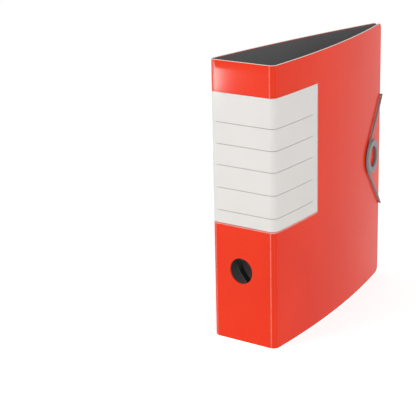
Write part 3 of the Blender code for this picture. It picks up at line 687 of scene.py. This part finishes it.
# A (radius, height) profile turned about an axis; it closes on itself or ends in two caps.
def turned(name, profile, centre, axis, first, second, material, steps=72):
    profile = np.asarray(profile, float)
    turn = 2 * pi * np.arange(steps) / steps
    circle = np.asarray(first) * np.cos(turn)[:, None] + np.asarray(second) * np.sin(turn)[:, None]
    points = (np.asarray(centre) + profile[:, None, 1:] * np.asarray(axis)
              + profile[:, None, :1] * circle[None])
    index = np.arange(len(profile) * steps).reshape(len(profile), steps)
    if np.allclose(profile[0], profile[-1]):
        points, faces, caps = points[:-1], stackFaces([*index[:-1], index[0]]), ()
    else:
        faces, caps = stackFaces(index), (index[0], index[-1][::-1])
    return addMesh(name, points.reshape(-1, 3), faces, material, caps=caps, sharp=38)


def buttonPart(name, part, finish, roughness):
    profile = smoothPath(part["profile"], 0.3)
    profile[-1] = profile[0]
    foot = np.array([*(ringCentre + ringOut * part["lift"]), button["z"]])
    ridingPiece(turned(name, profile, foot, [*ringOut, 0.0], [-ringOut[1], ringOut[0], 0.0], up,
                       mouldedPlastic(finish, part["colour"], roughness)), "front_cover", name)


buttonPart("ring_button", button, "grey_button_plastic", 0.40)
buttonPart("ring_backing", backing, "grey_backing_plastic", 0.45)

# The elastic: two inner runs, two outer runs, a tie and the loop round the button

cord = {"radius": 1.25, "lift": 1.6, "fromEdge": 18.0, "near": 4.0, "far": 90.0, "atEdge": 68.5,
        "middle": 159.0, "dark": (0.235, 0.25, 0.245), "light": (0.42, 0.42, 0.40), "lap": 0.25}
darkCord = braidedCord("elastic_braid", cord["dark"])
lightCord = braidedCord("elastic_braid_light", cord["light"])


# A cord through (w, u, z) rows: w into the file from the back cover's inner face, u from
# its crease and z up.
def cordPiece(name, rows, material, spacing=0.7):
    w, u, z = np.asarray(rows, float).T
    path = smoothPath(inSpace(backLine, backFold + u, z, case["inner"] + w), spacing)
    ridingPiece(tube(name, path, cord["radius"], material), "back_cover", name)


holeU = case["coverDepth"] - cord["fromEdge"]
outside = -case["inner"] - cord["lift"]
for side, word in ((1, "upper"), (-1, "lower")):
    near, far = cord["middle"] + side * cord["near"], cord["middle"] + side * cord["far"]
    edge = button["z"] + side * cord["atEdge"]
    inner = [(-1.5, near), (0.4, near), (1.5, near + side * 0.7), (1.6, near + side * 2.4),
             (1.62, near + side * 12), (1.62, (near + far) / 2), (1.62, far - side * 12),
             (1.6, far - side * 2.4), (1.4, far - side * 0.7), (0.4, far), (-1.5, far)]
    cordPiece("elastic_inner_" + word, [(w, holeU, z) for w, z in inner], lightCord)
    cordPiece("elastic_outer_" + word,
              [(-1.6, holeU, far), (-2.4, holeU, far), (-3.4, holeU + 0.1, far - side * 0.2),
               (outside, holeU + 0.9, far - side * 0.9), (outside, holeU + 7, far - side * 8.0),
               (outside, case["coverDepth"] - 1.4, edge + side * 0.8)], darkCord)
tie = [(-1.6, 4.0), (-2.6, 4.0), (-3.5, 3.5), (outside, 2.0), (outside, 0.0)]
tie += [(w, -z) for w, z in tie[-2::-1]]
cordPiece("elastic_tie", [(w, holeU, cord["middle"] + z) for w, z in tie], darkCord, 0.5)

wrap = button["rim"] + cord["radius"] + 0.1


# From the back cover's outside round both fore edges and up to where the cord meets the ring.
def loopHalf(side):
    rise = side * cord["atEdge"]
    edge = button["z"] + rise
    reach = np.hypot(button["fromEdge"], rise)
    tangent = np.arctan2(rise, button["fromEdge"]) + side * np.arccos(wrap / reach)
    touch = (ringAlong + wrap * np.cos(tangent), button["z"] + wrap * np.sin(tangent))
    lift = cord["lift"]
    back = [(0.3, lift), (1.3, lift - 0.6), (1.65, lift - 2.2)]
    points = [inSpace(backLine, backEnd + a, edge, -b) for a, b in back]
    front = [(1.65, lift - 2.2), (1.3, lift - 0.5), (0.1, lift + 0.1)]
    points += [inSpace(frontLine, frontEnd + a, edge, -b) for a, b in front]
    share = np.array([0.25, 0.5, 0.75])
    points += list(inSpace(frontLine, frontEnd + (touch[0] - frontEnd) * share,
                           edge + (touch[1] - edge) * share, -lift - cord["lap"]))
    return np.array(points), tangent


# Both halves and the arc round the button between their tangents.
def elasticLoop():
    upper, topTangent = loopHalf(1)
    lower, lowTangent = loopHalf(-1)
    sweep = np.linspace(topTangent, lowTangent + 2 * pi, 19)
    around = inSpace(frontLine, ringAlong + wrap * np.cos(sweep), button["z"] + wrap * np.sin(sweep),
                     -cord["lift"] - cord["lap"])
    path = smoothPath(np.vstack([upper, around, lower[::-1]]), 0.7)
    loop = tube("elastic_loop", path, cord["radius"], darkCord)
    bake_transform(loop)
    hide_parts("elastic_loop")


elasticLoop()
print("button and elastic ready")

# The mechanism, laid out square on the back cover's inner face

layout = {"middleU": 33.0, "floor": 1.3, "shaftW": 5.0, "archU": 22.0, "postU": 49.0,
          "pivot": (13.0, 161.0)}
plateOut = outwards(backLine, backFold + layout["middleU"])
inward, forward = -plateOut, np.array([plateOut[1], -plateOut[0]])
plateOrigin = onLine(backLine, backFold + layout["middleU"], case["inner"]) - layout["middleU"] * forward
pivotW, pivotZ = layout["pivot"]
nickel = nickelPlate("nickel_plate")
brushedNickel = nickelPlate("nickel_plate_rolled", (1.0, 1.0, 0.12))
black = mouldedPlastic("black_plastic", (0.016, 0.016, 0.017), 0.38)


# (w, u, z) rows, w into the file, u from the fold and z up, put into the shared frame.
def onPlate(points):
    points = np.asarray(points, float)
    plan = plateOrigin + points[..., :1] * inward + points[..., 1:2] * forward
    return np.concatenate([plan, points[..., 2:]], -1)


# A closed outline whose corners are arcs tangent to both sides; radius may differ by corner.
def roundedOutline(corners, radius, steps=6):
    corners = np.asarray(corners, float)
    radius = np.broadcast_to(radius, len(corners))
    before, after = unit(np.roll(corners, 1, 0) - corners), unit(np.roll(corners, -1, 0) - corners)
    half = np.arccos(np.clip((before * after).sum(1), -1, 1)) / 2
    centre = corners + unit(before + after) * (radius / np.sin(half))[:, None]
    start = corners + before * (radius / np.tan(half))[:, None] - centre
    end = corners + after * (radius / np.tan(half))[:, None] - centre
    turn = np.arctan2(start[:, 0] * end[:, 1] - start[:, 1] * end[:, 0], (start * end).sum(1))
    angle = turn[:, None] * np.linspace(0, 1, steps + 1)
    c, s = np.cos(angle), np.sin(angle)
    x = centre[:, :1] + start[:, :1] * c - start[:, 1:] * s
    y = centre[:, 1:] + start[:, :1] * s + start[:, 1:] * c
    return np.stack([x, y], -1).reshape(-1, 2)


def rectangle(a0, a1, b0, b1):
    return [(a0, b0), (a1, b0), (a1, b1), (a0, b1)]


# The outline moved inwards along the mean normal of its two sides at each point.
def insetOutline(outline, inset):
    ahead = unit(np.roll(outline, -1, 0) - outline)
    behind = unit(outline - np.roll(outline, 1, 0))
    normal = unit(np.stack([-(ahead + behind)[:, 1], (ahead + behind)[:, 0]], -1))
    x, y = outline.T
    return outline + normal * inset * np.sign((x * np.roll(y, -1) - y * np.roll(x, -1)).sum())


# Rings of points joined one to the next and closed by a cap at each end.
def stackedRings(name, rings, material, sharp):
    index = np.arange(len(rings) * len(rings[0])).reshape(len(rings), -1)
    return addMesh(name, np.concatenate(rings), stackFaces(index), material,
                   caps=(index[0], index[-1][::-1]), sharp=sharp)


# An outline pushed from low to high, with quarter-round rims on both faces. The outline is
# (z, w), (u, z) or (w, u), in the plane across the axis u, w or z; it's fixed to the back cover.
def stamped(name, outline, axis, low, high, material, edge, node=None):
    bend = np.linspace(0, pi / 2, 4)
    levels = [(edge * (1 - np.sin(a)), low + edge * (1 - np.cos(a))) for a in bend]
    levels += [(edge * (1 - np.cos(a)), high - edge + edge * np.sin(a)) for a in bend]
    rings = []
    for inset, level in levels:
        flat = insetOutline(outline, inset)
        rows = np.column_stack([flat, np.full(len(flat), level)])
        rings.append(onPlate(rows[:, {"u": (1, 2, 0), "w": (2, 0, 1), "z": (0, 1, 2)}[axis]]))
    return ridingPiece(stackedRings(name, rings, material, 50), "back_cover", node or name)


plate = {"u": (11.0, 55.0), "z": (97.0, 221.0), "corner": 14.0,
         "rim": [(0.0, 0.05), (0.0, 1.1), (0.05, 2.1), (0.25, 2.5), (0.65, 2.68), (1.05, 2.5), (1.35, 2.1),
                 (1.7, 1.9), (2.1, 2.0), (2.5, 2.12), (2.9, 1.9), (3.2, 1.5), (3.6, 1.32), (4.2, 1.3)]}


# Rounded rectangles nested inwards, each at the height of the pressed double rim there.
def basePlate():
    (u0, u1), (z0, z1) = plate["u"], plate["z"]
    rings = []
    for inset, height in smoothPath(plate["rim"], 0.16):
        flat = roundedOutline(rectangle(u0 + inset, u1 - inset, z0 + inset, z1 - inset),
                              plate["corner"] - inset, 14)
        rings.append(onPlate(np.column_stack([np.full(len(flat), height), flat])))
    return stackedRings("base_plate", rings, brushedNickel, 60)


ridingPiece(basePlate(), "back_cover", "base_plate")

rivet = {"near": 19.0, "far": 47.0, "lower": 106.0, "upper": 212.0,
         "head": [(0.02, 2.78), (1.3, 2.7), (2.4, 2.42), (3.15, 1.95), (3.4, 1.3)],
         "stem": [(1.7, 1.25), (1.7, -2.0)],
         "tail": [(4.6, -2.05), (4.62, -2.4), (4.3, -2.85), (3.2, -3.15), (1.6, -3.28), (0.02, -3.3)]}
rivetShape = np.vstack([smoothPath(rivet["head"], 0.4), rivet["stem"], smoothPath(rivet["tail"], 0.4)])
for along in ("near", "far"):
    for place in ("lower", "upper"):
        node = f"rivet_{along}_{place}"
        centre = onPlate([0.0, rivet[along], rivet[place]])
        ridingPiece(turned(node, rivetShape, centre, [*inward, 0.0], [*forward, 0.0], up, nickel, 40),
                    "back_cover", node)

bearing = {"lower": 126.0, "upper": 192.0, "reach": 2.95, "foot": 3.05, "half": 2.0, "edge": 0.45}


# A strap bent over a shaft: two feet, and an arc of about the shaft's own centre between.
def saddle(name, u, z):
    reach, foot = bearing["reach"], bearing["foot"]
    turn = np.linspace(-pi / 2, pi / 2, 15)
    arc = np.stack([layout["shaftW"] + reach * np.cos(turn), u + reach * np.sin(turn)], -1)
    outline = np.vstack([[(layout["floor"], u - foot), (1.7, u - foot), (3.2, u - reach)], arc,
                         [(3.2, u + reach), (1.7, u + foot), (layout["floor"], u + foot)]])
    stamped(name, outline, "z", z - bearing["half"], z + bearing["half"], nickel, bearing["edge"])


for word in ("arch", "post"):
    for place in ("lower", "upper"):
        saddle(f"{word}_bearing_{place}", layout[word + "U"], bearing[place])

block = {"outline": [(1.3, -4.4), (8.8, -3.4), (8.8, 2.6), (1.3, 3.4)], "radius": (0.3, 1.3, 1.3, 0.3),
         "z": (150.0, 170.0), "edge": 0.7}
blockOutline = roundedOutline(np.array(block["outline"]) + (0.0, layout["postU"]), block["radius"])
stamped("post_shaft_block", blockOutline, "z", *block["z"], black, block["edge"])

bridge = {"near": 27.0, "far": 41.5, "thick": 1.5, "edge": 0.4, "foot": 25.0, "floor": (1.3, 2.75),
          "side": [(25.0, 1.4), (25.0, 2.6), (23.6, 3.9), (19.5, 5.4), (15.8, 8.4), (12.6, 13.0),
                   (10.2, 18.2), (8.4, 21.8), (6.6, 23.4), (4.2, 24.0)]}
wing = np.vstack([bridge["side"][:1], smoothPath(bridge["side"][1:], 0.9)])
cheek = np.vstack([wing, wing[::-1] * (-1, 1)]) + (pivotZ, 0.0)
for word, low in (("near", bridge["near"]), ("far", bridge["far"] - bridge["thick"])):
    stamped("bridge_cheek_" + word, cheek, "u", low, low + bridge["thick"], nickel, bridge["edge"],
            "bridge")
foot = roundedOutline(rectangle(bridge["near"] + 0.4, bridge["far"] - 0.4, pivotZ - bridge["foot"],
                                pivotZ + bridge["foot"]), 2.0)
stamped("bridge_foot", foot, "w", *bridge["floor"], nickel, bridge["edge"], "bridge")

cap = {"outline": [(-12.0, 24.0), (11.0, 24.0), (11.0, 27.0), (-4.0, 30.5), (-12.0, 29.0)],
       "radius": (0.8, 0.8, 1.2, 3.0, 1.4), "past": 0.6, "edge": 0.9}
capOutline = roundedOutline(np.array(cap["outline"]) + (pivotZ, 0.0), cap["radius"])
stamped("bridge_cap", capOutline, "u", bridge["near"] - cap["past"], bridge["far"] + cap["past"], black,
        cap["edge"])


# A (radius, u) profile turned about the lever's pivot.
def onPivot(name, profile, body, node):
    piece = turned(name, profile, onPlate([pivotW, 0.0, pivotZ]), [*forward, 0.0], [*inward, 0.0], up,
                   nickel, 48)
    ridingPiece(piece, body, node)


# the near head has two grooves, and the far end is a small rivet
pin = {"head": [(0.02, 24.9), (1.1, 24.95), (1.5, 25.2), (1.9, 24.95), (2.6, 24.95), (3.2, 25.2),
                (3.4, 25.8), (3.4, 26.6), (2.0, 26.8)],
       "stem": [(2.0, 46.7)],
       "tail": [(3.2, 46.8), (3.2, 47.2), (2.7, 47.7), (1.4, 47.95), (0.02, 48.0)]}
onPivot("lever_pin", np.vstack([smoothPath(pin["head"], 0.25), pin["stem"], smoothPath(pin["tail"], 0.3)]),
        "back_cover", "lever_pin")

spring = {"radius": 6.0, "wire": 0.6, "turns": 2.25, "start": 42.6, "pitch": 1.45}
turn = np.linspace(0, 2 * pi * spring["turns"], 150)
coil = onPlate(np.stack([pivotW + spring["radius"] * np.cos(turn),
                         spring["start"] + spring["pitch"] * turn / (2 * pi),
                         pivotZ + spring["radius"] * np.sin(turn)], -1))
ridingPiece(tube("lever_spring", coil, spring["wire"], nickel, sides=10), "back_cover", "lever_spring")

lever = {"middleU": 34.25, "wide": 10.4, "taper": 2.6, "halfThick": 0.78, "sag": 0.55, "tip": 0.035,
         "line": [(-5.5, -2.2), (-9.0, -4.0), (-15.0, -4.9), (-26.0, -5.2), (-43.0, -5.2), (-57.0, -5.0),
                  (-66.0, -5.6), (-75.0, -7.6), (-84.0, -8.6), (-92.0, -6.6), (-101.0, 1.0),
                  (-110.0, 10.5), (-116.0, 15.2), (-122.0, 17.0)],
         "hub": ([(2.4, 29.0), (5.0, 29.0), (7.3, 29.05), (7.95, 29.5), (8.0, 31.0), (7.6, 31.8)],
                 [(7.4, 33.5), (7.4, 35.0)],
                 [(7.6, 36.7), (8.0, 37.5), (7.95, 39.0), (7.3, 39.45), (5.0, 39.5), (2.4, 39.5)])}


# A strip along a smooth middle line in the (z, w) plane. Its section is a rounded channel,
# cos^0.35 wide and sin^0.55 thick with a parabola's sag, and narrows to an elliptic tip.
def leverStrip():
    line = smoothPath(lever["line"], 1.3)
    ahead = unit(np.gradient(line, axis=0))
    normal = np.stack([-ahead[:, 1], ahead[:, 0]], -1)
    run = np.linspace(0, 1, len(line))
    left = np.clip((1 - run) / lever["tip"], 0, 1)
    wide = lever["wide"] - lever["taper"] * np.clip((run - 0.25) / 0.75, 0, 1)
    wide = wide * np.sqrt(1 - (1 - left) ** 2 + 1e-3)
    turn = np.linspace(0, 2 * pi, 28, endpoint=False)
    across = np.sign(np.cos(turn)) * np.abs(np.cos(turn)) ** 0.35 / 2
    thick = np.sign(np.sin(turn)) * np.abs(np.sin(turn)) ** 0.55 * lever["halfThick"]
    sag = lever["sag"] * (4 * across ** 2 - 0.5)
    u = lever["middleU"] + across[None] * wide[:, None]
    share = (wide / lever["wide"] * np.clip(run * 9, 0, 1) * 0.9)[:, None]
    offset = thick[None] + sag[None] * share
    z = line[:, :1] + normal[:, :1] * offset + pivotZ
    w = line[:, 1:] + normal[:, 1:] * offset + pivotW
    return stackedRings("lever", onPlate(np.stack([w, u, z], -1)), nickel, 50)


ridingPiece(leverStrip(), "lever", "lever")
hub = [smoothPath(rows, spacing) for rows, spacing in zip(lever["hub"], (0.35, 0.6, 0.35))]
onPivot("lever_hub", np.vstack(hub + [lever["hub"][0][:1]]), "lever", "lever")

hoops = {"wire": 1.9, "low": 119.0, "high": 199.0, "postTip": 39.5,
         "leg": [(40.0, 28.2), (50.0, 27.5), (58.0, 21.5), (61.0, 13.0), (57.5, 3.6), (49.0, -3.6),
                 (38.0, -6.6), (26.0, -6.2), (14.0, -2.8), (5.0, -0.4)],
         "post": [(5.0, 0.2)], "turn": [(1.6, 0.0, 1.0), (0.2, 0.0, 2.4), (0.0, 0.0, 5.0)]}


# A wire from one leg's tip (w, u) down to the shaft, along it and up the other leg.
def hoop(name, body, legs, shaftU, endRound):
    low, high = hoops["low"], hoops["high"]
    below = [(w, u, 0.0) for w, u in legs] + hoops["turn"]
    rows = [(w, u, low + z) for w, u, z in below] + [(0.0, 0.0, (low + high) / 2)]
    rows += [(w, u, high - z) for w, u, z in below[::-1]]
    path = onPlate(smoothPath(np.array(rows) + (layout["shaftW"], shaftU, 0.0), 0.9))
    ridingPiece(tube(name, path, hoops["wire"], nickel, sides=20, endRound=endRound), body, name)


tip = hoops["postTip"]
hoop("arch_frame", "arch", hoops["leg"], layout["archU"], 0.2)
hoop("post_frame", "post", [(tip, 1.2), (tip / 2, 0.8)] + hoops["post"], layout["postU"], 0.25)
print("mechanism ready")

# Stage, light and camera

studio = {"backdrop": 1.0, "sky": 0.45, "floorColour": (0.68, 0.68, 0.68), "floorGlow": 0.66}


# A white backdrop that lights the object less than it shows.
def studioWorld(backdrop, sky):
    world = bpy.data.worlds.new("studio")
    world.use_nodes = True
    tree = world.node_tree
    back = tree.nodes["Background"]
    back.inputs["Color"].default_value = (1.0, 1.0, 1.0, 1.0)
    seen = addNode(tree, "ShaderNodeLightPath").outputs["Is Camera Ray"]
    tree.links.new(span(tree, seen, sky, backdrop), back.inputs["Strength"])
    scene.world = world


studioWorld(studio["backdrop"], studio["sky"])


# A wide disc just under the object; its rings are closer together near the middle.
def studioFloor():
    radius = np.concatenate([[0.0], np.geomspace(0.4, 30.0, 8)])
    turn = 2 * pi * np.arange(64) / 64
    points = np.stack([radius[1:, None] * np.cos(turn), radius[1:, None] * np.sin(turn),
                       np.full((8, 64), -0.0003)], -1).reshape(-1, 3)
    index = np.arange(8 * 64).reshape(8, 64)
    mesh = bpy.data.meshes.new("floor")
    mesh.from_pydata(points.tolist(), [], stackFaces(index).tolist() + [index[0].tolist()])
    material, tree = newMaterial("white_floor", Roughness=0.6, Emission_Color=(1.0, 1.0, 1.0, 1.0),
                                 Emission_Strength=studio["floorGlow"])
    place = objectPlace(tree)
    tone = mixColour(tree, span(tree, noise(tree, place, 3.0, 2.0), 0.0, 1.0, 0.3, 0.7),
                     studio["floorColour"], shade(studio["floorColour"], 0.985))
    tree.links.new(tone, tree.nodes["Principled BSDF"].inputs["Base Color"])
    mesh.materials.append(material)
    floor = bpy.data.objects.new("floor", mesh)
    scene.collection.objects.link(floor)
    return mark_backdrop(floor)


studioFloor()


def softLight(name, place, target, size, power):
    light = bpy.data.lights.new(name, "AREA")
    light.shape = "RECTANGLE"
    light.size, light.size_y = size
    light.energy = power
    obj = bpy.data.objects.new(name, light)
    obj.location = place
    obj.rotation_euler = (Vector(target) - Vector(place)).to_track_quat("-Z", "Y").to_euler()
    obj.visible_camera = False
    scene.collection.objects.link(obj)
    return obj


softLight("key", (-0.75, -1.15, 1.55), (0.0, 0.0, 0.25), (0.8, 0.8), 9.5)
softLight("fill", (1.5, -0.7, 1.5), (0.0, 0.1, 0.25), (0.9, 0.9), 12)
softLight("low_window", (-0.560, -0.715, 0.115), (-0.032, 0.0, 0.30), (0.024, 0.06), 1.0)


# The view axis from its bearing and rise, then rolled about itself.
def placeCamera(look):
    bearing, rise, roll = (np.radians(look[k]) for k in ("bearing", "rise", "roll"))
    back = np.array([np.sin(bearing) * np.cos(rise), -np.cos(bearing) * np.cos(rise), np.sin(rise)])
    flat = np.array([np.cos(bearing), np.sin(bearing), 0.0])
    top = np.cross(back, flat)
    right = np.cos(roll) * flat + np.sin(roll) * top
    top = np.cos(roll) * top - np.sin(roll) * flat
    data = bpy.data.cameras.new("camera")
    data.sensor_width = 36.0
    data.lens = look["lens"]
    data.clip_start, data.clip_end = 0.05, 100.0
    camera = bpy.data.objects.new("camera", data)
    matrix = np.eye(4)
    matrix[:3, 0], matrix[:3, 1], matrix[:3, 2], matrix[:3, 3] = right, top, back, look["place"]
    camera.matrix_world = Matrix(matrix.tolist())
    scene.collection.objects.link(camera)
    scene.camera = camera


placeCamera({"bearing": 36.27, "rise": 17.22, "roll": -1.24, "lens": 120.57,
             "place": (0.82625, -1.1901, 0.6067)})
scene.view_settings.view_transform = "Standard"
print("stage ready")
